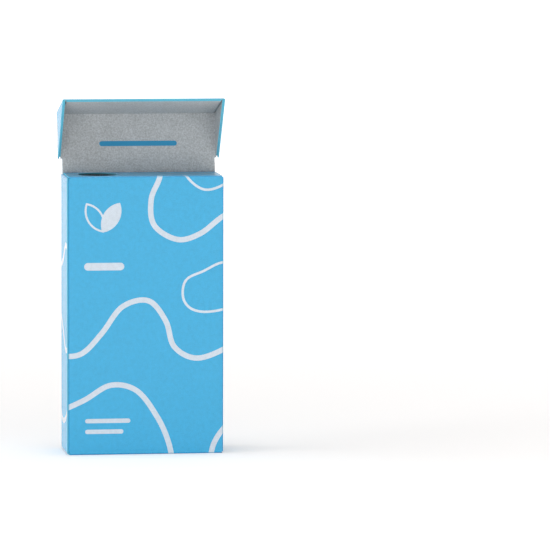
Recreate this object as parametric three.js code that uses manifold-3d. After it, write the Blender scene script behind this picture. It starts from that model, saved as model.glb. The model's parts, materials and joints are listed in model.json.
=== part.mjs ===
// Flip-top carton for mints, folded and glued from one sheet of printed paperboard.
// Millimetres, +Z up. The origin is the middle of the base, and the front panel faces -Y.
// The lid is part of the same sheet, but it turns on its crease, so it is a mesh of its own.

import * as THREE from 'three';
import { mergeVertices } from 'three/addons/utils/BufferGeometryUtils.js';
import Module from 'manifold-3d';

// Outside of the body
const bodyWidth = 54;
const bodyDepth = 20.2;
const bodyHeight = 95.8;

// Paperboard
const board = 0.45;
const foldRadius = 0.6;
const arcSteps = 2;

// How far glued plies press into each other, the gap between plies that only lie on each
// other, and the clearance of a cut edge beside a panel
const gluePress = 0.03;
const plyGap = 0.12;
const edgeClearance = 0.18;

// Flaps of the body, measured from their fold
const glueFlapWidth = 9;
const tuckFlapLength = 8;
const dustFlapLength = 16;
const dustFlapClearance = 0.4;
const cornerNotch = 0.4;

// Dispensing hole in the top panel, halfway between front and back
const holeDiameter = 13.4;
const holeFromLeft = 11.6;
const holeRim = 0.7;
const holeSides = 64;

// Lid: the top panel turns at the crease, and the lip covers the top of the front panel
const lidClearance = 0.15;
const lidRestGap = 0.15;
const creaseGap = 0.2;
const hingeStripLength = 4.5;
const lipLength = 21.9;
const wallTipHeight = 0.3;
const innerPlySetback = 0.12;
const innerWallSetback = 0.6;
const lipPlyCornerGap = 0.5;
const lidOpening = 105;

// Levels and half sizes that follow from them
const halfWidth = bodyWidth / 2;
const halfDepth = bodyDepth / 2;
const flapLevelLow = board + plyGap;
const flapLevelHigh = bodyHeight - board - plyGap;
const endPanelHalf = halfWidth - board - edgeClearance;
const stripHalf = halfWidth - foldRadius;
const glueFace = -halfWidth + board - gluePress;
const glueFlapRoot = -halfDepth + foldRadius + board;
const hingeY = halfDepth - board / 2;
const hingeZ = bodyHeight + lidRestGap + board / 2;

const wasm = await Module();
wasm.setup();

// Triangles as a solid that can be joined and cut. Their places are rounded to a ten
// thousandth of a millimetre, so that faces meant to lie in one plane do.
function closedSolid(places, triVerts) {
  const vertProperties = places.map((place) => Math.round(place * 1e4) / 1e4);
  return new wasm.Manifold(new wasm.Mesh({ numProp: 3, vertProperties, triVerts }));
}

function solid(geometry) {
  geometry.deleteAttribute('normal');
  geometry.deleteAttribute('uv');
  const merged = mergeVertices(geometry, 1e-5);
  return closedSolid(merged.attributes.position.array, new Uint32Array(merged.index.array));
}

function common(one, other) {
  const { vertProperties, triVerts } = one.intersect(other).getMesh();
  return closedSolid(vertProperties, triVerts);
}

function namedMesh(name, manifold, material) {
  const { vertProperties, triVerts } = manifold.getMesh();
  const indexed = new THREE.BufferGeometry();
  indexed.setAttribute('position', new THREE.BufferAttribute(vertProperties, 3));
  indexed.setIndex(new THREE.BufferAttribute(triVerts, 1));
  const geometry = indexed.toNonIndexed();
  geometry.computeVertexNormals();
  const mesh = new THREE.Mesh(geometry, material);
  mesh.name = name;
  return mesh;
}

// Where an outline's own axes point, and the way it is extruded.
const planes = {
  x: new THREE.Matrix4().makeBasis(
    new THREE.Vector3(0, 1, 0), new THREE.Vector3(0, 0, 1), new THREE.Vector3(1, 0, 0)),
  y: new THREE.Matrix4().makeBasis(
    new THREE.Vector3(1, 0, 0), new THREE.Vector3(0, 0, 1), new THREE.Vector3(0, -1, 0)),
  z: new THREE.Matrix4(),
};

// An outline in the YZ, XZ or XY plane, extruded along X, Y or Z between two places.
function extruded(shape, axis, from, to) {
  const points = shape.getPoints(arcSteps);
  const apart = (point, i) => point.distanceTo(points[(i + 1) % points.length]) > 1e-6;
  const section = new THREE.Shape(points.filter(apart));
  const geometry = new THREE.ExtrudeGeometry(section, { depth: to - from, bevelEnabled: false });
  geometry.applyMatrix4(planes[axis]);
  const start = new THREE.Vector3().setComponent('xyz'.indexOf(axis), axis === 'y' ? to : from);
  return solid(geometry.translate(start.x, start.y, start.z));
}

function block(low, high) {
  const size = new THREE.Vector3().subVectors(high, low);
  const middle = new THREE.Vector3().addVectors(high, low).multiplyScalar(0.5);
  const geometry = new THREE.BoxGeometry(size.x, size.y, size.z);
  return solid(geometry.translate(middle.x, middle.y, middle.z));
}

// The section of a creased board. The corners run along its printed face, every fold is a
// quarter turn to the left, and the board's thickness lies on the left. A fold is round
// outside and sharp inside.
function creasedBoard(corners) {
  const points = corners.map(([a, b]) => new THREE.Vector2(a, b));
  const ways = points.slice(1).map((point, i) => point.clone().sub(points[i]).normalize());
  const inward = ways.map((way) => new THREE.Vector2(-way.y, way.x));
  const last = points.length - 1;
  const shape = new THREE.Shape().moveTo(points[0].x, points[0].y);
  for (let i = 1; i < last; i += 1) {
    const centre = points[i].clone().addScaledVector(ways[i - 1], -foldRadius);
    centre.addScaledVector(ways[i], foldRadius);
    const start = Math.atan2(-inward[i - 1].y, -inward[i - 1].x);
    shape.absarc(centre.x, centre.y, foldRadius, start, start + Math.PI / 2, false);
  }
  shape.lineTo(points[last].x, points[last].y);
  for (let i = last; i >= 0; i -= 1) {
    const inside = points[i].clone();
    inside.addScaledVector(inward[Math.min(i, last - 1)], board);
    if (i > 0 && i < last) {
      inside.addScaledVector(inward[i - 1], board);
    }
    shape.lineTo(inside.x, inside.y);
  }
  return shape;
}

function outline(corners) {
  return new THREE.Shape(corners.map(([a, b]) => new THREE.Vector2(a, b)));
}

// A rectangle whose four corners are round like a fold.
function roundedRectangle(left, low, right, high) {
  const shape = new THREE.Shape();
  shape.absarc(right - foldRadius, high - foldRadius, foldRadius, 0, Math.PI / 2, false);
  shape.absarc(left + foldRadius, high - foldRadius, foldRadius, Math.PI / 2, Math.PI, false);
  shape.absarc(left + foldRadius, low + foldRadius, foldRadius, Math.PI, 1.5 * Math.PI, false);
  shape.absarc(right - foldRadius, low + foldRadius, foldRadius, 1.5 * Math.PI, 2 * Math.PI, false);
  return shape;
}

// The panels round the body, with their top and bottom edges rounded where they fold over.
function roundTheBody(section) {
  const foldedEnds = roundedRectangle(-halfWidth, flapLevelLow, halfWidth, flapLevelHigh);
  return common(
    extruded(creasedBoard(section), 'z', flapLevelLow, flapLevelHigh),
    extruded(foldedEnds, 'y', -bodyDepth, bodyDepth));
}

// The front, right and back panels, from the fold of the glue flap.
function frontRightAndBack() {
  return roundTheBody([
    [glueFace, glueFlapRoot],
    [glueFace, -halfDepth],
    [halfWidth, -halfDepth],
    [halfWidth, halfDepth],
    [-board, halfDepth],
  ]);
}

// The left panel is the last one on: it lies over the glue flap, and its cut edge stands
// level with the front.
function leftPanel() {
  return roundTheBody([
    [board, halfDepth],
    [-halfWidth, halfDepth],
    [-halfWidth, -halfDepth],
  ]);
}

// The front panel's flap inside the left panel, between the dust flaps.
function glueFlap() {
  const flapEnd = board + dustFlapClearance;
  return block(
    new THREE.Vector3(glueFace, glueFlapRoot - board, flapLevelLow + flapEnd),
    new THREE.Vector3(glueFace + board, -halfDepth + glueFlapWidth, flapLevelHigh - flapEnd));
}

// The front panel goes on over the top and under the base, and ends in a tuck flap that is
// glued inside the back panel at each end.
function frontWithEndPanels() {
  const insideBack = halfDepth - board + gluePress;
  const section = creasedBoard([
    [insideBack, bodyHeight - tuckFlapLength],
    [insideBack, bodyHeight],
    [-halfDepth, bodyHeight],
    [-halfDepth, 0],
    [insideBack, 0],
    [insideBack, tuckFlapLength],
  ]);
  return extruded(section, 'x', -endPanelHalf, endPanelHalf);
}

// The side panels' dust flaps under the top panel and over the base. The one beside the hole
// is cut back to clear it.
function dustFlaps() {
  const besideHole = holeFromLeft - holeDiameter / 2 - holeRim;
  const left = creasedBoard([
    [-halfWidth + besideHole, flapLevelHigh],
    [-halfWidth, flapLevelHigh],
    [-halfWidth, flapLevelLow],
    [-halfWidth + dustFlapLength, flapLevelLow],
  ]);
  const right = creasedBoard([
    [halfWidth - dustFlapLength, flapLevelLow],
    [halfWidth, flapLevelLow],
    [halfWidth, flapLevelHigh],
    [halfWidth - dustFlapLength, flapLevelHigh],
  ]);
  const front = -halfDepth + board + dustFlapClearance;
  const back = halfDepth - 2 * board - dustFlapClearance;
  return extruded(left, 'y', front, back).add(extruded(right, 'y', front, back));
}

// The back panel between its corner folds, from the base up to the lid's crease.
function backPanel() {
  const section = new THREE.Shape().moveTo(halfDepth - board, 0).lineTo(halfDepth, 0);
  section.absarc(hingeY, hingeZ, board / 2, 0, Math.PI, false);
  return extruded(section, 'x', -stripHalf, stripHalf);
}

function dispensingHole() {
  const cutter = new THREE.CylinderGeometry(holeDiameter / 2, holeDiameter / 2, 4 * board, holeSides);
  return solid(cutter.rotateX(Math.PI / 2).translate(-halfWidth + holeFromLeft, 0, bodyHeight));
}

// Small relief notches where the front panel's side and end creases meet.
function cornerNotches() {
  const notches = [];
  for (const side of [-1, 1]) {
    for (const level of [flapLevelLow, flapLevelHigh]) {
      const middle = side * (halfWidth - board - cornerNotch / 2);
      notches.push(block(
        new THREE.Vector3(middle - cornerNotch / 2, -bodyDepth, level - cornerNotch / 2),
        new THREE.Vector3(middle + cornerNotch / 2, -halfDepth + board, level + cornerNotch / 2)));
    }
  }
  return notches;
}

function cartonBody() {
  let front = frontRightAndBack().add(frontWithEndPanels());
  for (const notch of cornerNotches()) {
    front = front.subtract(notch);
  }
  const sides = leftPanel().add(glueFlap()).add(dustFlaps());
  return front.add(sides).add(backPanel()).subtract(dispensingHole());
}

// The lid is drawn shut, from its crease: X across, -Y to the front, Z up from the middle of
// its board. Its walls are two plies, and they pass outside the body with lidClearance.
const lidTop = board / 2;
const lidUnderside = -board / 2;
const lidRim = lidTop - lipLength;
const doubleBoard = 2 * board - gluePress;
const wallInside = halfWidth + lidClearance;
const wallMiddle = wallInside + board;
const wallOutside = wallInside + doubleBoard;
const lipInside = -(hingeY + halfDepth + lidClearance);
const lipMiddle = lipInside - board;
const lipOutside = lipInside - doubleBoard;
const wallStart = -hingeStripLength;

// The strip of board beside the crease, which has no walls.
function hingeStrip() {
  return block(
    new THREE.Vector3(-stripHalf, wallStart - board, lidUnderside),
    new THREE.Vector3(stripHalf, -board / 2 - creaseGap, lidTop));
}

// The lid's top panel with the inner ply of each side wall folded down from it.
function topWithInnerWalls() {
  const across = creasedBoard([
    [wallMiddle, lidRim],
    [wallMiddle, lidTop],
    [-wallMiddle, lidTop],
    [-wallMiddle, lidRim],
  ]);
  const fromSide = outline([
    [wallStart, lidTop],
    [lipMiddle, lidTop],
    [lipMiddle, lidRim + innerPlySetback],
    [lipInside, lidRim + innerPlySetback],
    [wallStart - innerWallSetback, lidUnderside],
    [wallStart, lidUnderside],
  ]);
  const silhouette = extruded(fromSide, 'x', -2 * wallOutside, 2 * wallOutside);
  return common(extruded(across, 'y', lipMiddle, wallStart), silhouette);
}

// The lip's outer ply, with the outer ply of each side wall folded back from its ends.
function lipWithOuterWalls() {
  const round = creasedBoard([
    [-wallOutside, wallStart],
    [-wallOutside, lipOutside],
    [wallOutside, lipOutside],
    [wallOutside, wallStart],
  ]);
  const fromSide = new THREE.Shape().moveTo(wallStart, lidTop);
  fromSide.absarc(lipOutside + foldRadius, lidTop - foldRadius, foldRadius, Math.PI / 2, Math.PI, false);
  fromSide.lineTo(lipOutside, lidRim);
  fromSide.lineTo(lipInside, lidRim);
  fromSide.lineTo(wallStart, lidUnderside - wallTipHeight);
  const silhouette = extruded(fromSide, 'x', -2 * wallOutside, 2 * wallOutside);
  return common(extruded(round, 'z', lidRim, lidTop), silhouette);
}

// The lip's inner ply, glued behind the outer one and short of the corners.
function lipInnerPly() {
  const plyHalf = wallInside - lipPlyCornerGap;
  return block(
    new THREE.Vector3(-plyHalf, lipMiddle, lidRim + innerPlySetback),
    new THREE.Vector3(plyHalf, lipInside, lidUnderside));
}

function lid() {
  return hingeStrip().add(topWithInnerWalls()).add(lipWithOuterWalls()).add(lipInnerPly());
}

const printedBoard = new THREE.MeshStandardMaterial({ color: 0x54b4e2, roughness: 0.6, metalness: 0 });

const carton = new THREE.Group();
carton.add(namedMesh('carton_body', cartonBody(), printedBoard));

const lidCrease = new THREE.Group();
lidCrease.position.set(0, hingeY, hingeZ);
lidCrease.rotation.x = -THREE.MathUtils.degToRad(lidOpening);
lidCrease.add(namedMesh('lid', lid(), printedBoard.clone()));
carton.add(lidCrease);

export default carton;
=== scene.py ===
import json
import math

import bpy
import numpy as np
from mathutils import Matrix, Vector
from mathutils.kdtree import KDTree


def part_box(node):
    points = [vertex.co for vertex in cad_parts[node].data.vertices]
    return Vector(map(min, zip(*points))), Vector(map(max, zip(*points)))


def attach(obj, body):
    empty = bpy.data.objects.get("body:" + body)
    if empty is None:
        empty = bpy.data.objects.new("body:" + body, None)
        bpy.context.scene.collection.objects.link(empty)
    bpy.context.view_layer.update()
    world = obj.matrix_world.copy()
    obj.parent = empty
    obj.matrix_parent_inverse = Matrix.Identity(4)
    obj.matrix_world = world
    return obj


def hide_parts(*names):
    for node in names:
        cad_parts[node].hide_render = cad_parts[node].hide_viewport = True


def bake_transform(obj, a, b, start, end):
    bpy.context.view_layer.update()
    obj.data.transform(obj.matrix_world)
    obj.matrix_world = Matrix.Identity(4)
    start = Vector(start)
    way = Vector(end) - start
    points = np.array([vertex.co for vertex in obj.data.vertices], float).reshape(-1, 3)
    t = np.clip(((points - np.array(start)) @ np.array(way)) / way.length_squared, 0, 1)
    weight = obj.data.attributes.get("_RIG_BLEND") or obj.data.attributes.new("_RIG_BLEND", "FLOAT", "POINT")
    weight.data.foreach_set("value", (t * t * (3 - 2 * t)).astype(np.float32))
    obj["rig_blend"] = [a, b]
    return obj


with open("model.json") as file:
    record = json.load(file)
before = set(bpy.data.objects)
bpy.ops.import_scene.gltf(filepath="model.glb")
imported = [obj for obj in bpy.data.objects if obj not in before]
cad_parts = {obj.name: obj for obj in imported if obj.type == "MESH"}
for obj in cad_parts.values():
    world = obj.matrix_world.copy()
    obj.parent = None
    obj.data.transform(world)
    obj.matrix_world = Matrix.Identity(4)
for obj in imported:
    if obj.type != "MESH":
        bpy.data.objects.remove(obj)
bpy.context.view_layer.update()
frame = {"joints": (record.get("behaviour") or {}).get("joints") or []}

# A flip-top carton, folded from a printed sheet. Each sheet is laid out flat in the plane of
# its front panel, where it gets its print, and is then folded crease by crease.

MM = 0.001

# Sizes of the carton, from the frame
body_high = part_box("carton_body")[1]
lid_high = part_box("lid")[1]
hinge = Vector(frame["joints"][0]["pos_m"])
hinge_limits = frame["joints"][0]["range_deg"]
half_width = body_high.x
half_depth = body_high.y
crease_half = half_depth - hinge.y
board = 2 * crease_half
lid_rest_gap = 0.15 * MM
body_height = hinge.z - crease_half - lid_rest_gap
lid_opening = math.radians(-hinge_limits[0])
lid_half = lid_high.x

# Board, creases and flaps
ply = 0.44 * MM
fold_radius = 0.48 * MM
fold_steps = 6
cell = 1.2 * MM
weld_distance = 0.02 * MM
tolerance = 0.01 * MM
smooth_angle = math.radians(35)
side_setback = 0.4 * MM
tuck_setback = 0.01 * MM
glue_flap_width = 8.4 * MM
tuck_flap_length = 7.4 * MM
dust_flap_length = 15.4 * MM
short_dust_flap_length = 3.6 * MM
dust_flap_setback = 0.7 * MM
dust_flap_turn = math.radians(104)
seam_setback = 0.12 * MM
notch_height = 0.32 * MM
side_edge = 0.23 * MM

# Dispensing hole
hole_radius = 6.7 * MM
hole_from_left = 11.6 * MM
hole_sides = 96
hole_cutter_depth = 6 * board

# Crease of the lid. Its two folds are given upwards from the hinge.
back_rise = 0.1 * MM
crease_rows = 8
crease_folds = (-0.08 * MM, 0.02 * MM)

# Lid
lid_bar_up = 9.6 * MM
lid_bar_size = (27 * MM, 1.8 * MM)
lid_clearance = 0.12 * MM
lip_length = 21.9 * MM
strip_length = 4.5 * MM
strip_start = 0.5 * MM
wall_tip = 0.3 * MM
inner_wall_tip = 0.3 * MM
inner_setback = 0.06 * MM
inner_wall_setback = 0.6 * MM
lip_ply_gap = 0.5 * MM

# The photograph's camera, found from the carton's corners: turns in radians, film width in
# millimetres, and where the lower front left corner lies in the 550 pixel picture
picture_width = 550
film_width = 36
focal_pixels = 5307.6
camera_pitch = 0.0964
camera_roll = 0.0027
camera_yaw = 0.1400
corner_pixel = (67.21, 455.35)
corner_distance = 1821.24 * MM


# Helpers for modelling

def deselect_all():
    if bpy.context.object and bpy.context.object.mode != "OBJECT":
        bpy.ops.object.mode_set(mode="OBJECT")
    bpy.ops.object.select_all(action="DESELECT")


def make_active(piece):
    deselect_all()
    piece.select_set(True)
    bpy.context.view_layer.objects.active = piece


def apply_modifier(piece, kind, **settings):
    make_active(piece)
    modifier = piece.modifiers.new(kind.title(), kind)
    for name, value in settings.items():
        setattr(modifier, name, value)
    bpy.ops.object.modifier_apply(modifier=modifier.name)


def cells_along(length):
    return max(1, round(length / cell))


def flat_sheet(name, y, columns, rows, layout):
    """A flat sheet at depth y. Its panels are the crossings of named columns and rows."""
    deselect_all()
    bpy.ops.mesh.primitive_plane_add(size=board)
    sheet = bpy.context.object
    sheet.name = name
    bpy.ops.object.mode_set(mode="EDIT")
    bpy.ops.mesh.select_all(action="SELECT")
    bpy.ops.mesh.delete(type="VERT")
    for column, row in layout:
        left, right, across = columns[column]
        low, high, up = rows[row]
        middle = ((left + right) / 2, y, (low + high) / 2)
        bpy.ops.mesh.primitive_grid_add(
            x_subdivisions=across, y_subdivisions=up, size=1,
            location=middle, rotation=(math.radians(90), 0, 0))
        bpy.ops.transform.resize(
            value=(right - left, 1, high - low), orient_type="GLOBAL", center_override=middle)
    bpy.ops.mesh.select_all(action="SELECT")
    bpy.ops.mesh.remove_doubles(threshold=weld_distance)
    bpy.ops.object.mode_set(mode="OBJECT")
    return sheet


def places(piece):
    flat = np.zeros(len(piece.data.vertices) * 3)
    piece.data.vertices.foreach_get("co", flat)
    return flat.reshape(-1, 3)


def all_of(piece):
    return np.ones(len(piece.data.vertices), bool)


def select_vertices(piece, chosen):
    mesh = piece.data
    bpy.context.tool_settings.mesh_select_mode = (True, False, False)
    mesh.polygons.foreach_set("select", np.zeros(len(mesh.polygons), bool))
    mesh.edges.foreach_set("select", np.zeros(len(mesh.edges), bool))
    mesh.vertices.foreach_set("select", chosen)
    make_active(piece)
    bpy.ops.object.mode_set(mode="EDIT")
    bpy.ops.mesh.select_mode(type="VERT")


def turn(piece, chosen, angle, axis, pivot):
    """Turns the chosen vertices by the right hand rule. With no window the operator turns
    the other way, so the angle is given negative."""
    select_vertices(piece, chosen)
    bpy.ops.transform.rotate(
        value=-angle, orient_axis=axis, orient_type="GLOBAL", center_override=pivot)
    bpy.ops.object.mode_set(mode="OBJECT")


def arc_chord(angle):
    return 2 * fold_radius * math.sin(angle / fold_steps / 2)


def fold_length(angle=math.pi / 2):
    return fold_steps * arc_chord(angle)


def fold(piece, flat, crease, way, start, part, angle=math.pi / 2):
    """Folds all of a sheet's part beyond a crease inwards, on a round bend that begins at
    start. The crease is "upright" or "level", and way says on which side of it the flap is."""
    along = 0 if crease == "upright" else 2
    axis = "Z" if crease == "upright" else "X"
    sense = way if crease == "upright" else -way
    sheet_y = flat[0, 1]
    mark_fold_shade(piece, way * (flat[:, along] - start) / fold_length(angle), part)
    for step in range(fold_steps, -1, -1):
        line = start + way * step * arc_chord(angle)
        share = 0.5 if step in (0, fold_steps) else 1.0
        beyond = part & (way * (flat[:, along] - line) > -tolerance)
        pivot = [0, sheet_y, 0]
        pivot[along] = line
        turn(piece, beyond, sense * share * angle / fold_steps, axis, pivot)


def mark_fold_shade(piece, share, part):
    """Stores how much painted shade each point of a bend gets: 1 at its middle, 0 where the flat panels
    begin.
    """
    attributes = piece.data.attributes
    fold_shade_weight = attributes.get("bend") or attributes.new("bend", "FLOAT", "POINT")
    values = np.zeros(len(share), np.float32)
    fold_shade_weight.data.foreach_get("value", values)
    on_bend = part & (share > 0) & (share < 1)
    values[on_bend] = np.sin(math.pi * share[on_bend])
    fold_shade_weight.data.foreach_set("value", values)


def between(values, low, high):
    return (values > low - tolerance) & (values < high + tolerance)


def faces_in(piece, flat, left, right, low, high):
    """The vertices of the faces whose middles lie in a rectangle of the flat sheet."""
    chosen = np.zeros(len(flat), bool)
    for face in piece.data.polygons:
        corners = list(face.vertices)
        middle = flat[corners].mean(axis=0)
        if left < middle[0] < right and low < middle[2] < high:
            chosen[corners] = True
    return chosen


# Each piece's materials, in this order
PRINTED, INSIDE, CUT_EDGE, PUNCHED = range(4)


def thicken(piece):
    """Gives a folded sheet its thickness: inside board, then bare cut edges."""
    apply_modifier(
        piece, "SOLIDIFY", thickness=ply, offset=-1, use_even_offset=True,
        use_quality_normals=True, material_offset=INSIDE, material_offset_rim=CUT_EDGE)


def finish_edges(piece):
    make_active(piece)
    bpy.ops.object.shade_smooth_by_angle(angle=smooth_angle)


# The print: wavy lines on the flat sheet. Places are millimetres across from the middle of the
# front panel and up from the base, on through the right panel to the back and up to the lid.

BROAD = 0.92
FINE = 0.42
wavy_lines = [
    (BROAD, [(-30, 34), (-22, 35), (-15, 42), (-8, 51), (1, 53), (7, 46), (10, 37), (18, 33), (29, 37),
             (38, 44), (47, 42), (56, 33), (66, 29), (76, 36), (84, 46), (95, 49), (106, 43), (116, 36),
             (126, 38)]),
    (BROAD, [(4, 104), (5, 96), (2, 88), (3, 79), (11, 74), (19, 76), (27, 82), (36, 86), (46, 82),
             (53, 73), (62, 68), (71, 73), (76, 83), (75, 95), (68, 104), (62, 112), (63, 121),
             (71, 127), (80, 126), (86, 133), (88, 146)]),
    (BROAD, [(-30, 15), (-21, 19), (-12, 24), (-3, 22), (4, 13), (8, 4), (10, -6)]),
    (BROAD, [(22, -6), (24, 4), (31, 12), (41, 15), (50, 10), (60, 6), (72, 10), (83, 18), (94, 18),
             (104, 11), (115, 12), (126, 18)]),
    (BROAD, [(40, 104), (42, 98), (48, 93), (54, 96), (55, 105), (50, 113), (40, 116)]),
    (BROAD, [(126, 70), (116, 72), (107, 66), (97, 64), (90, 70), (89, 80), (95, 88), (98, 98),
             (97, 108), (101, 116), (112, 119)]),
    (FINE, [(12, 104), (14, 96), (21, 91), (30, 95), (34, 104)]),
    (FINE, [(22, 49), (30, 51), (36, 57), (34, 64), (27, 66), (20, 63), (14, 60), (13, 54), (16, 50),
            (22, 49)]),
    (FINE, [(62, 44), (70, 46), (77, 53), (75, 60), (67, 61), (59, 60), (53, 54), (54, 47), (62, 44)]),
    (FINE, [(42, 132), (50, 130), (56, 136), (58, 146)]),
]
line_spacing = 0.25
line_reach = 2.2
bleed = 1.6 * MM


def smooth_line(points):
    """Places and directions along a smooth line through the points."""
    points = np.array(points, float)
    if np.allclose(points[0], points[-1]):
        ends = np.vstack([points[-2], points, points[1]])
    else:
        ends = np.vstack([2 * points[0] - points[1], points, 2 * points[-1] - points[-2]])
    found = []
    for before, start, end, after in zip(ends, ends[1:], ends[2:], ends[3:]):
        count = max(4, math.ceil(np.linalg.norm(end - start) / line_spacing))
        for t in np.arange(count) / count:
            place = 0.5 * (2 * start + (end - before) * t
                           + (2 * before - 5 * start + 4 * end - after) * t ** 2
                           + (3 * start - before - 3 * end + after) * t ** 3)
            slope = 0.5 * ((end - before) + 2 * (2 * before - 5 * start + 4 * end - after) * t
                           + 3 * (3 * start - before - 3 * end + after) * t ** 2)
            found.append((place, slope / np.linalg.norm(slope)))
    return found


def print_sheet(piece, net):
    """Stores the print on a flat sheet: the net's own places as a UV map, and how far each
    point lies across from the nearest wavy line, in half widths of that line."""
    samples = [
        (place, slope, half)
        for half, points in wavy_lines for place, slope in smooth_line(points)]
    tree = KDTree(len(samples))
    for index, (place, slope, half) in enumerate(samples):
        tree.insert((place[0], place[1], 0), index)
    tree.balance()
    mesh = piece.data
    wavy = mesh.attributes.new("wavy_line", "FLOAT_VECTOR", "POINT")
    for index, (u, v) in enumerate(net / MM):
        found, distance = tree.find((u, v, 0))[1:]
        place, slope, half = samples[found]
        across = slope[0] * (v - place[1]) - slope[1] * (u - place[0])
        wavy.data[index].vector = (across / half, distance, 0)
    layer = mesh.uv_layers.new(name="net")
    for loop in mesh.loops:
        layer.data[loop.index].uv = net[loop.vertex_index]


# Materials

BLUE = (0.040, 0.385, 0.660, 1)
PALE = (0.585, 0.660, 0.735, 1)
# Painted shade along the folds: the print is multiplied by the first colour on a bend and by white off it
FOLD_SHADE = (0.45, 0.76, 0.90, 1)
NO_FOLD_SHADE = (1, 1, 1, 1)
GREY_BOARD = (0.560, 0.590, 0.605, 1)
GREY_SPECK = (0.325, 0.335, 0.340, 1)
TEAL_EDGE = (0.100, 0.470, 0.640, 1)
# The hole's wall is a darker copy of the teal cut edge: painted shade inside the hole
SHADED_HOLE_EDGE = (0.040, 0.200, 0.270, 1)
TEAL_INK = (0.035, 0.265, 0.470, 1)
FLOOR_WHITE = (0.88, 0.86, 0.85, 1)
WHITE = (1, 1, 1, 1)

# Roughness of each surface, and the width and the height of its relief
PRINTED_FINISH = (0.24, 0.35 * MM, 0.004 * MM)
INSIDE_FINISH = (0.85, 0.25 * MM, 0.012 * MM)
EDGE_FINISH = (0.7, 0.12 * MM, 0.01 * MM)

# Sizes of the spots in the colours, and how much of the inside's speckle each kind makes up
grain_size = 0.28 * MM
mottle_size = 1.3 * MM
fibre_size = 0.22 * MM
fleck_size = 0.5 * MM
cloud_size = 6 * MM
edge_fibre_size = 0.12 * MM
fibre_share = 0.35
fleck_share = 0.65


class Ink:
    """A material's nodes, wired up one call at a time."""

    def __init__(self, name):
        self.material = bpy.data.materials.new(name)
        self.material.use_nodes = True
        self.tree = self.material.node_tree
        self.shader = self.tree.nodes["Principled BSDF"]

    def node(self, kind, inputs=(), **settings):
        made = self.tree.nodes.new(kind)
        for name, value in settings.items():
            setattr(made, name, value)
        for socket, value in dict(inputs).items():
            if isinstance(value, bpy.types.NodeSocket):
                self.tree.links.new(value, made.inputs[socket])
            else:
                made.inputs[socket].default_value = value
        return made

    def math(self, operation, first, second=0.0):
        return self.node("ShaderNodeMath", {0: first, 1: second}, operation=operation).outputs[0]

    def vector(self, operation, first, second=(0, 0, 0)):
        return self.node("ShaderNodeVectorMath", {0: first, 1: second}, operation=operation)

    def scaled(self, colour, share):
        """A colour made lighter or darker by a share of it."""
        if not isinstance(colour, bpy.types.NodeSocket):
            colour = colour[:3]
        made = self.vector("SCALE", colour)
        self.tree.links.new(share, made.inputs["Scale"])
        return made.outputs[0]

    def noise(self, size, detail=2.0):
        where = self.node("ShaderNodeTexCoord").outputs["Object"]
        made = self.node("ShaderNodeTexNoise", {"Vector": where, "Scale": 1 / size, "Detail": detail})
        return made.outputs["Fac"]

    def mix(self, share, first, second):
        # Inputs 6 and 7 and output 2 are the node's colours
        inputs = {"Factor": share, 6: first, 7: second}
        return self.node("ShaderNodeMix", inputs, data_type="RGBA").outputs[2]

    def ramp(self, value, low, high, to_low=0.0, to_high=1.0):
        made = self.node("ShaderNodeMapRange", {
            "Value": value, "From Min": low, "From Max": high, "To Min": to_low, "To Max": to_high})
        return made.outputs["Result"]

    def bar(self, where, middle, size):
        """1 inside a level bar with round ends."""
        half_length = (size[0] - size[1]) / 2
        offset = self.vector("SUBTRACT", where, (*middle, 0)).outputs[0]
        offset = self.vector("ABSOLUTE", offset).outputs[0]
        offset = self.vector("SUBTRACT", offset, (half_length, 0, 0)).outputs[0]
        offset = self.vector("MAXIMUM", offset, (0, 0, 0)).outputs[0]
        distance = self.vector("LENGTH", offset).outputs["Value"]
        return self.math("LESS_THAN", distance, size[1] / 2)

    def leaf(self, where, stalk, tip, plumpness):
        """How far a point lies outside a pointed leaf, below 0 inside it. Two circles that pass
        through the stalk and the tip make it."""
        stalk, tip = Vector(stalk), Vector(tip)
        middle = (stalk + tip) / 2
        across = Vector((stalk.y - tip.y, tip.x - stalk.x)) * plumpness
        centres = (middle + across, middle - across)
        radius = (centres[0] - tip).length
        far = [self.vector("DISTANCE", where, (*centre, 0)).outputs["Value"] for centre in centres]
        return self.math("SUBTRACT", self.math("MAXIMUM", *far), radius)

    def finish(self, colour, roughness, bump_size, bump_height):
        height = self.noise(bump_size, 3.0)
        bump = self.node("ShaderNodeBump", {"Height": height, "Distance": bump_height, "Strength": 1.0})
        self.tree.links.new(colour, self.shader.inputs["Base Color"])
        self.tree.links.new(bump.outputs["Normal"], self.shader.inputs["Normal"])
        self.shader.inputs["Roughness"].default_value = roughness
        return self.material


# Ornaments of the front, in metres on the flat sheet
sprig_foot = (-14.6 * MM, 77.0 * MM)
sprig_tips = [(-20.2 * MM, 86.4 * MM), (-9.0 * MM, 86.4 * MM)]
sprig_line = 0.34 * MM
leaf_plumpness = 0.42
front_bars = [
    ((-14.2 * MM, 64.9 * MM), (13.8 * MM, 2.6 * MM)),
    ((-13.0 * MM, 11.7 * MM), (15.6 * MM, 1.5 * MM)),
    ((-14.2 * MM, 8.0 * MM), (13.2 * MM, 1.5 * MM)),
]


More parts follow.
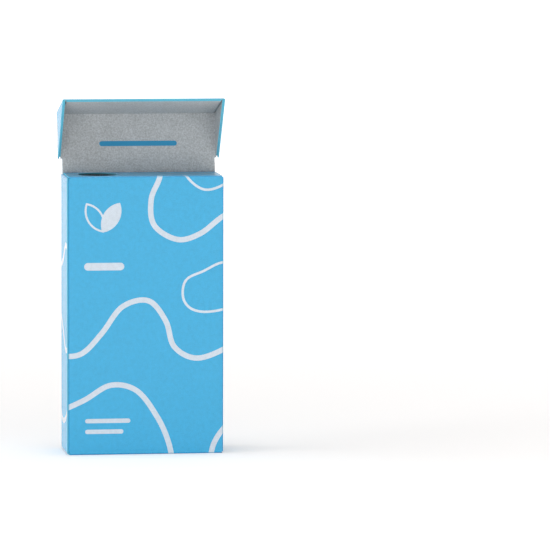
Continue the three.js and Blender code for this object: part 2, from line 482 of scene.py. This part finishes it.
def printed_board():
    ink = Ink("printed_coated_board")
    where = ink.node("ShaderNodeUVMap", uv_map="net").outputs["UV"]
    apart = ink.node("ShaderNodeSeparateXYZ", {0: where})
    across, up = apart.outputs["X"], apart.outputs["Y"]
    wavy = ink.node("ShaderNodeAttribute", attribute_name="wavy_line").outputs["Vector"]
    wavy = ink.node("ShaderNodeSeparateXYZ", {0: wavy})
    on_line = ink.math("LESS_THAN", ink.math("ABSOLUTE", wavy.outputs["X"]), 1.0)
    on_line = ink.math("MULTIPLY", on_line, ink.math("LESS_THAN", wavy.outputs["Y"], line_reach))
    # The lines stop just past the front panel's end folds
    past_top = ink.math("GREATER_THAN", up, body_height + bleed)
    past_foot = ink.math("LESS_THAN", up, -bleed)
    before_side = ink.math("LESS_THAN", across, half_width)
    end_panel = ink.math("MULTIPLY", ink.math("MAXIMUM", past_top, past_foot), before_side)
    on_line = ink.math("MULTIPLY", on_line, ink.math("SUBTRACT", 1.0, end_panel))

    left_leaf, right_leaf = (
        ink.leaf(where, sprig_foot, tip, leaf_plumpness) for tip in sprig_tips)
    outline = ink.math("LESS_THAN", ink.math("ABSOLUTE", left_leaf), sprig_line)
    filled = ink.math("LESS_THAN", right_leaf, sprig_line)
    ornament = ink.math("MAXIMUM", outline, filled)
    for bar in front_bars:
        ornament = ink.math("MAXIMUM", ornament, ink.bar(where, *bar))
    # Only the front panel carries the ornaments
    ornament = ink.math("MULTIPLY", ornament, before_side)

    grain = ink.ramp(ink.noise(grain_size), 0.3, 0.7, to_low=0.92, to_high=1.07)
    mottle = ink.ramp(ink.noise(mottle_size), 0.3, 0.7, to_low=0.96, to_high=1.04)
    colour = ink.mix(ink.math("MAXIMUM", on_line, ornament), BLUE, PALE)
    # Painted shade: the ink is darkened along each bend, most at its middle
    fold_shade_share = ink.node("ShaderNodeAttribute", attribute_name="bend").outputs["Fac"]
    fold_shade_tint = ink.mix(fold_shade_share, NO_FOLD_SHADE, FOLD_SHADE)
    colour = ink.vector("MULTIPLY", colour, fold_shade_tint).outputs[0]
    colour = ink.scaled(colour, ink.math("MULTIPLY", grain, mottle))
    return ink.finish(colour, *PRINTED_FINISH)


def bare_board(name, marks=()):
    """The sheet's grey inside, with printed bars where marks gives their places."""
    ink = Ink(name)
    fibre = ink.ramp(ink.noise(fibre_size, 3.0), 0.34, 0.66)
    fleck = ink.ramp(ink.noise(fleck_size, 3.0), 0.34, 0.64)
    fibre = ink.math("MULTIPLY", fibre, fibre_share)
    fleck = ink.math("MULTIPLY", fleck, fleck_share)
    speck = ink.math("ADD", fibre, fleck)
    cloud = ink.ramp(ink.noise(cloud_size), 0.3, 0.7, to_low=0.96, to_high=1.04)
    colour = ink.scaled(ink.mix(speck, GREY_SPECK, GREY_BOARD), cloud)
    where = ink.node("ShaderNodeUVMap", uv_map="net").outputs["UV"]
    for mark in marks:
        colour = ink.mix(ink.bar(where, *mark), colour, TEAL_INK)
    return ink.finish(colour, *INSIDE_FINISH)


def cut_edge(name, shade):
    ink = Ink(name)
    fibre = ink.ramp(ink.noise(edge_fibre_size, 3.0), 0.3, 0.7, to_low=0.88, to_high=1.1)
    return ink.finish(ink.scaled(shade, fibre), *EDGE_FINISH)


printed = printed_board()
plain_inside = bare_board("grey_inside_board")
edge = cut_edge("cut_board_edge", TEAL_EDGE)
# Painted shade: a darker cut edge for the wall of the hole
shaded_hole_edge = cut_edge("hole_edge_painted_shade", SHADED_HOLE_EDGE)


def paint(piece, inside=plain_inside, extra=()):
    piece.data.materials.clear()
    for material in (printed, inside, edge, *extra):
        piece.data.materials.append(material)


# Body: front panel with the glue flap on its left, then right, back and left panels on its
# right; end panels with tuck flaps above and below it

front_y = -half_depth
bend = fold_length()
front_left = -half_width + ply + fold_radius
front_right = half_width - fold_radius
wrap_depth = 2 * half_depth - 2 * fold_radius
wrap_width = 2 * half_width - 2 * fold_radius
dust_bend = fold_length(dust_flap_turn)
low_level = side_setback
high_level = body_height - side_setback
flap_low = low_level + fold_radius
flap_high = high_level - fold_radius
panel_low = fold_radius
panel_high = body_height - fold_radius
end_depth = 2 * half_depth - 2 * fold_radius - ply - tuck_setback
back_top = body_height + back_rise

right_start = front_right + bend
right_end = right_start + wrap_depth
back_start = right_end + bend
back_end = back_start + wrap_width
back_middle = (back_start + back_end) / 2
left_start = back_end + bend
left_end = left_start + wrap_depth + fold_radius - seam_setback


def band(low, high):
    return (low, high, cells_along(high - low))


body_columns = {
    "glue_flap": band(front_left - bend - glue_flap_width, front_left - bend),
    "glue_fold": (front_left - bend, front_left, fold_steps),
    "side_edge": (front_left - side_edge, front_left, 1),
    "front": band(front_left, front_right),
    "right_fold": (front_right, right_start, fold_steps),
    "right_fore": (right_start, right_start + dust_flap_setback, 1),
    "right": band(right_start + dust_flap_setback, right_end - dust_flap_setback),
    "right_rear": (right_end - dust_flap_setback, right_end, 1),
    "back_right_fold": (right_end, back_start, fold_steps),
    "back": band(back_start, back_end),
    "back_left_fold": (back_end, left_start, fold_steps),
    "left_rear": (left_start, left_start + dust_flap_setback, 1),
    "left": band(left_start + dust_flap_setback, left_end - dust_flap_setback),
    "left_fore": (left_end - dust_flap_setback, left_end, 1),
}
top_start = panel_high + bend
top_end = top_start + end_depth
foot_start = panel_low - bend
foot_end = foot_start - end_depth
body_rows = {
    "foot_tuck": band(foot_end - bend - tuck_flap_length, foot_end - bend),
    "foot_tuck_fold": (foot_end - bend, foot_end, fold_steps),
    "foot": band(foot_end, foot_start),
    "foot_fold": (foot_start, panel_low, fold_steps),
    "low_edge": (panel_low, flap_low - notch_height, 1),
    "low_notch": (flap_low - notch_height, flap_low, 1),
    "main": band(flap_low, flap_high),
    "high_notch": (flap_high, flap_high + notch_height, 1),
    "high_edge": (flap_high + notch_height, panel_high, 1),
    "top_fold": (panel_high, top_start, fold_steps),
    "top": band(top_start, top_end),
    "tuck_fold": (top_end, top_end + bend, fold_steps),
    "tuck": band(top_end + bend, top_end + bend + tuck_flap_length),
    "low_dust_fold": (flap_low - dust_bend, flap_low, fold_steps),
    "low_dust": band(flap_low - dust_bend - dust_flap_length, flap_low - dust_bend),
    "high_dust_fold": (flap_high, flap_high + dust_bend, fold_steps),
    "high_dust": band(flap_high + dust_bend, flap_high + dust_bend + dust_flap_length),
    "short_dust": band(flap_high + dust_bend, flap_high + dust_bend + short_dust_flap_length),
    "back_foot": (0, flap_low - notch_height, 1),
    "back_top": (flap_high + notch_height, back_top, 1),
}
body_layout = [("front", row) for row in (
    "foot_tuck", "foot_tuck_fold", "foot", "foot_fold", "low_edge", "low_notch", "main",
    "high_notch", "high_edge", "top_fold", "top", "tuck_fold", "tuck")]
body_layout += [("side_edge", row) for row in ("foot", "top_fold", "top")]
body_layout += [("glue_flap", "main"), ("glue_fold", "main")]
for upright in (
        "right_fold", "right_fore", "right_rear", "back_right_fold", "back_left_fold",
        "left_rear", "left_fore"):
    body_layout += [(upright, row) for row in ("low_notch", "main", "high_notch")]
for side, upper_flap in (("right", "high_dust"), ("left", "short_dust")):
    body_layout += [(side, row) for row in (
        "low_dust", "low_dust_fold", "main", "high_dust_fold", upper_flap)]
body_layout += [("back", row) for row in ("back_foot", "low_notch", "main", "high_notch", "back_top")]


def body_board():
    piece = flat_sheet("carton_board", front_y, body_columns, body_rows, body_layout)
    flat = places(piece)
    across, up = flat[:, 0], flat[:, 2]
    print_sheet(piece, flat[:, [0, 2]])
    on_front = across < front_right + tolerance
    fold(piece, flat, "level", 1, top_end, on_front)
    fold(piece, flat, "level", -1, foot_end, on_front)
    for start, end in ((right_start, right_end), (left_start, left_end)):
        flap_sides = (start + dust_flap_setback, end - dust_flap_setback)
        high_flap = faces_in(piece, flat, *flap_sides, flap_high, math.inf)
        low_flap = faces_in(piece, flat, *flap_sides, -math.inf, flap_low)
        fold(piece, flat, "level", 1, flap_high, high_flap, dust_flap_turn)
        fold(piece, flat, "level", -1, flap_low, low_flap, dust_flap_turn)
    for corner in (back_end, right_end, front_right):
        fold(piece, flat, "upright", 1, corner, all_of(piece))
    fold(piece, flat, "upright", -1, front_left, between(up, flap_low, flap_high))
    fold(piece, flat, "level", 1, panel_high, on_front)
    fold(piece, flat, "level", -1, panel_low, on_front)
    paint(piece, extra=[shaded_hole_edge])
    thicken(piece)
    cut_hole(piece)
    finish_edges(piece)
    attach(piece, "carton")
    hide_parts("carton_body")
    return piece


def cut_hole(piece):
    deselect_all()
    bpy.ops.mesh.primitive_cylinder_add(
        vertices=hole_sides, radius=hole_radius, depth=hole_cutter_depth,
        location=(-half_width + hole_from_left, 0, body_height))
    cutter = bpy.context.object
    paint(cutter, extra=[shaded_hole_edge])
    # Painted shade: the hole's wall gets the darker cut edge
    for face in cutter.data.polygons:
        face.material_index = PUNCHED
    apply_modifier(piece, "BOOLEAN", operation="DIFFERENCE", object=cutter, solver="EXACT")
    bpy.data.objects.remove(cutter)


# Lid, folded shut over the carton and then opened. Its lip is the flat sheet's fixed panel.

lid_top = hinge.z + crease_half
wall_inside = half_width + lid_clearance
inner_wall_outside = wall_inside + ply
outer_lip_y = -(lid_half - half_width) - half_depth
lip_inside_y = -half_depth - lid_clearance
lip_half = lid_half - fold_radius
top_half = inner_wall_outside - fold_radius
strip_half = half_width - fold_radius
rim = lid_top - lip_length
lip_top = lid_top - fold_radius
cover_start = lip_top + bend
cover_front_y = outer_lip_y + fold_radius
wall_end_y = hinge.y - strip_length
cover_end = cover_start + wall_end_y - cover_front_y
strip_end = cover_start + (hinge.y - strip_start) - cover_front_y
side_wall_length = wall_end_y - cover_front_y
inner_wall_height = lip_top - rim - inner_setback
inner_wall_end = cover_end - inner_wall_setback
wall_start = lip_half + bend
outer_tip = (board + wall_tip) / lip_length
lid_bar = ((back_middle, hinge.z + lid_bar_up), lid_bar_size)


def outer_wall_share(distance):
    """What is left of the outer wall's height at a distance from the middle of the flat lip."""
    return 1 - (1 - outer_tip) * (distance - wall_start) / side_wall_length


def inner_wall_share(level):
    """What is left of the inner wall's width at a level of the flat lid's top panel."""
    tip = inner_wall_tip / inner_wall_height
    return 1 - (1 - tip) * (level - cover_start) / (inner_wall_end - cover_start)


def lid_net(flat):
    """Places of the lid on the carton's flat sheet, where it goes on from the back panel."""
    hinge_line = cover_start + (hinge.y - cover_front_y)
    net = np.zeros((len(flat), 2))
    net[:, 0] = back_middle - flat[:, 0]
    net[:, 1] = hinge.z + hinge_line - flat[:, 2]
    return net


def taper(piece, flat, chosen, along, fixed, share_at):
    """Narrows the chosen part of a flat sheet, line by line along one of its axes, towards an
    edge that stays fixed. share_at gives the share of the width that is left at a place."""
    across = 2 - along
    lines = np.unique(np.round(flat[chosen, along] / weld_distance)) * weld_distance
    for line in lines:
        size, pivot = [1, 1, 1], [0, flat[0, 1], 0]
        size[across], pivot[across] = share_at(line), fixed
        select_vertices(piece, chosen & (np.abs(flat[:, along] - line) < weld_distance))
        bpy.ops.transform.resize(value=size, orient_type="GLOBAL", center_override=pivot)
        bpy.ops.object.mode_set(mode="OBJECT")


def lid_cover():
    columns = {
        "outer_left": band(-lip_half - bend - side_wall_length, -lip_half - bend),
        "outer_left_fold": (-lip_half - bend, -lip_half, fold_steps),
        "lip_left": (-lip_half, -top_half, 1),
        "inner_left": band(-top_half - bend - inner_wall_height, -top_half - bend),
        "inner_left_fold": (-top_half - bend, -top_half, fold_steps),
        "middle": band(-top_half, top_half),
        "strip": band(-strip_half, strip_half),
        "inner_right_fold": (top_half, top_half + bend, fold_steps),
        "inner_right": band(top_half + bend, top_half + bend + inner_wall_height),
        "lip_right": (top_half, lip_half, 1),
        "outer_right_fold": (lip_half, lip_half + bend, fold_steps),
        "outer_right": band(lip_half + bend, lip_half + bend + side_wall_length),
    }
    rows = {
        "lip": band(rim, lip_top),
        "wall_top": (lip_top, lid_top, 1),
        "lip_fold": (lip_top, cover_start, fold_steps),
        "cover": band(cover_start, inner_wall_end),
        "cover_rear": (inner_wall_end, cover_end, 1),
        "strip": band(cover_end, strip_end),
    }
    layout = [(column, "lip") for column in (
        "outer_left", "outer_left_fold", "lip_left", "middle", "lip_right", "outer_right_fold",
        "outer_right")]
    layout += [(column, "lip_fold") for column in ("lip_left", "middle", "lip_right")]
    layout += [(column, "cover") for column in (
        "inner_left", "inner_left_fold", "middle", "inner_right_fold", "inner_right")]
    layout += [(column, "wall_top") for column in (
        "outer_left", "outer_left_fold", "outer_right_fold", "outer_right")]
    layout += [("middle", "cover_rear"), ("strip", "strip")]
    piece = flat_sheet("lid_board", outer_lip_y, columns, rows, layout)

    flat = places(piece)
    for side in (-1, 1):
        distance = side * flat[:, 0]
        outer = (distance > wall_start - tolerance) & (flat[:, 2] < lid_top + tolerance)
        taper(piece, flat, outer, 0, lid_top, lambda u: outer_wall_share(abs(u)))
        inner = (distance > top_half + bend - tolerance) & (flat[:, 2] > cover_start - tolerance)
        taper(piece, flat, inner, 2, side * (top_half + bend), inner_wall_share)
    flat = places(piece)

    print_sheet(piece, lid_net(flat))
    across, up = flat[:, 0], flat[:, 2]
    on_cover = up > cover_start - tolerance
    on_lip = up < lid_top + tolerance
    over_lip = on_cover | (np.abs(across) < lip_half + tolerance)
    for side in (-1, 1):
        fold(piece, flat, "upright", side, side * top_half, on_cover)
        fold(piece, flat, "upright", side, side * lip_half, on_lip)
    fold(piece, flat, "level", 1, lip_top, over_lip)
    paint(piece, bare_board("marked_inside_board", [lid_bar]))
    thicken(piece)
    open_lid(piece)
    finish_edges(piece)
    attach(piece, "lid")
    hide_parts("lid")
    return piece


def lip_lining():
    """The lip's inner ply, grey like the inside, glued behind the lip and short of its corners."""
    half = wall_inside - lip_ply_gap
    columns = {"lining": band(-half, half)}
    rows = {"lining": band(rim + inner_setback, lid_top - board)}
    piece = flat_sheet("lip_lining", lip_inside_y - ply, columns, rows, [("lining", "lining")])
    print_sheet(piece, lid_net(places(piece)))
    paint(piece)
    thicken(piece)
    for face in piece.data.polygons:
        if face.material_index == PRINTED:
            face.material_index = INSIDE
    open_lid(piece)
    finish_edges(piece)
    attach(piece, "lid")
    return piece


def open_lid(piece):
    turn(piece, all_of(piece), -lid_opening, "X", hinge)


def lid_crease():
    """The bending board between the back panel and the lid."""
    strip_z = hinge.z + strip_start
    columns = {"strip": band(-strip_half, strip_half)}
    rows = {"crease": (back_top, strip_z, crease_rows)}
    piece = flat_sheet("lid_crease", 0, columns, rows, [("strip", "crease")])
    flat = places(piece)
    print_sheet(piece, flat[:, [0, 2]] + (back_middle, 0))
    turn(piece, all_of(piece), math.pi, "Z", (0, 0, 0))
    make_active(piece)
    bpy.ops.object.mode_set(mode="EDIT")
    bpy.ops.mesh.select_all(action="SELECT")
    bpy.ops.transform.translate(value=(0, half_depth, 0))
    bpy.ops.object.mode_set(mode="OBJECT")
    lean = lid_opening - math.pi / 2
    for line in (hinge.z + step for step in crease_folds):
        turn(piece, flat[:, 2] > line, -lean / 2, "X", (0, half_depth, line))
    paint(piece)
    thicken(piece)
    finish_edges(piece)
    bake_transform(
        piece, "carton", "lid",
        start=(0, hinge.y, back_top + 0.02 * MM), end=(0, hinge.y, hinge.z + 0.35 * MM))
    return piece


body_board()
lid_cover()
lip_lining()
lid_crease()


# Stage: white floor, studio light and the photograph's camera

floor_size = 60
floor_drop = 0.02 * MM
floor_roughness = 0.9
floor_gloss = 0.1
# Distances from the carton between which the floor's lift grows
fade_start = 0.1
fade_end = 0.9


def seen_by_camera(tree):
    """1 for rays that come from the camera, also by way of gloss or a clear thing, 0 for others."""
    rays = tree.nodes.new("ShaderNodeLightPath")
    seen = rays.outputs["Is Camera Ray"]
    for way in ("Is Glossy Ray", "Is Transmission Ray"):
        either = tree.nodes.new("ShaderNodeMath")
        either.operation = "MAXIMUM"
        tree.links.new(seen, either.inputs[0])
        tree.links.new(rays.outputs[way], either.inputs[1])
        seen = either.outputs[0]
    return seen


def white_floor(near_lift, far_lift):
    """The floor is lifted to white, less so near the carton, where the lamps do it."""
    deselect_all()
    bpy.ops.mesh.primitive_plane_add(size=floor_size, location=(0, 0, -floor_drop))
    floor = bpy.context.object
    floor.name = "floor"
    ink = Ink("white_floor")
    where = ink.node("ShaderNodeTexCoord").outputs["Object"]
    distance = ink.vector("LENGTH", where).outputs["Value"]
    fade = ink.ramp(distance, fade_start, fade_end, to_low=near_lift, to_high=far_lift)
    lift = ink.math("MULTIPLY", seen_by_camera(ink.tree), fade)
    sockets = ink.shader.inputs
    sockets["Base Color"].default_value = FLOOR_WHITE
    sockets["Roughness"].default_value = floor_roughness
    sockets["Specular IOR Level"].default_value = floor_gloss
    sockets["Emission Color"].default_value = WHITE
    ink.tree.links.new(lift, sockets["Emission Strength"])
    floor.data.materials.append(ink.material)


def studio_world(soft_light):
    world = bpy.data.worlds.new("studio")
    world.use_nodes = True
    bpy.context.scene.world = world
    nodes, links = world.node_tree.nodes, world.node_tree.links
    background = nodes["Background"]
    background.inputs["Color"].default_value = WHITE
    strength = nodes.new("ShaderNodeMapRange")
    links.new(seen_by_camera(world.node_tree), strength.inputs["Value"])
    strength.inputs["To Min"].default_value = soft_light
    strength.inputs["To Max"].default_value = 1.0
    links.new(strength.outputs["Result"], background.inputs["Strength"])


def soft_lamp(name, direction, spread, strength):
    """A far, wide lamp that shines from a direction, evenly on all of the stage."""
    deselect_all()
    bpy.ops.object.light_add(type="SUN", location=direction)
    light = bpy.context.object
    light.name = name
    light.data.angle = math.radians(spread)
    light.data.energy = strength
    light.rotation_euler = Vector(direction).to_track_quat("Z", "Y").to_euler()


def front_card(width, height, place, power):
    """A glowing card that stands low in front of the carton and shines in under the lid. Neither
    the camera nor the gloss of the board sees it."""
    deselect_all()
    bpy.ops.object.light_add(type="AREA", location=place)
    card = bpy.context.object
    card.name = "front_card"
    card.data.shape = "RECTANGLE"
    card.data.size = width
    card.data.size_y = height
    card.data.energy = power
    card.rotation_euler = (math.radians(90), 0, 0)
    card.visible_camera = False
    card.visible_glossy = False


def photo_camera():
    turned = (Matrix.Rotation(camera_pitch, 3, "X") @ Matrix.Rotation(camera_roll, 3, "Y")
              @ Matrix.Rotation(camera_yaw, 3, "Z"))
    middle = picture_width / 2
    corner = Vector((
        (corner_pixel[0] - middle) * corner_distance / focal_pixels,
        corner_distance,
        (middle - corner_pixel[1]) * corner_distance / focal_pixels))
    back = turned.transposed()
    place = Vector((-half_width, -half_depth, 0)) - back @ corner
    right, up, behind = back @ Vector((1, 0, 0)), back @ Vector((0, 0, 1)), back @ Vector((0, -1, 0))
    deselect_all()
    bpy.ops.object.camera_add(location=place)
    camera = bpy.context.object
    camera.rotation_euler = Matrix((right, up, behind)).transposed().to_euler()
    camera.data.sensor_width = film_width
    camera.data.lens = film_width * focal_pixels / picture_width
    bpy.context.scene.camera = camera


white_floor(near_lift=0.2, far_lift=0.45)
studio_world(soft_light=0.39)
soft_lamp("left_lamp", direction=(-1.0, -0.08, 0.2), spread=60, strength=2.2)
soft_lamp("top_lamp", direction=(0, 0, 1), spread=20, strength=0.95)
front_card(width=0.6, height=0.13, place=(0, -0.3, 0.066), power=0.5)
photo_camera()

bpy.context.scene.view_settings.view_transform = "Standard"
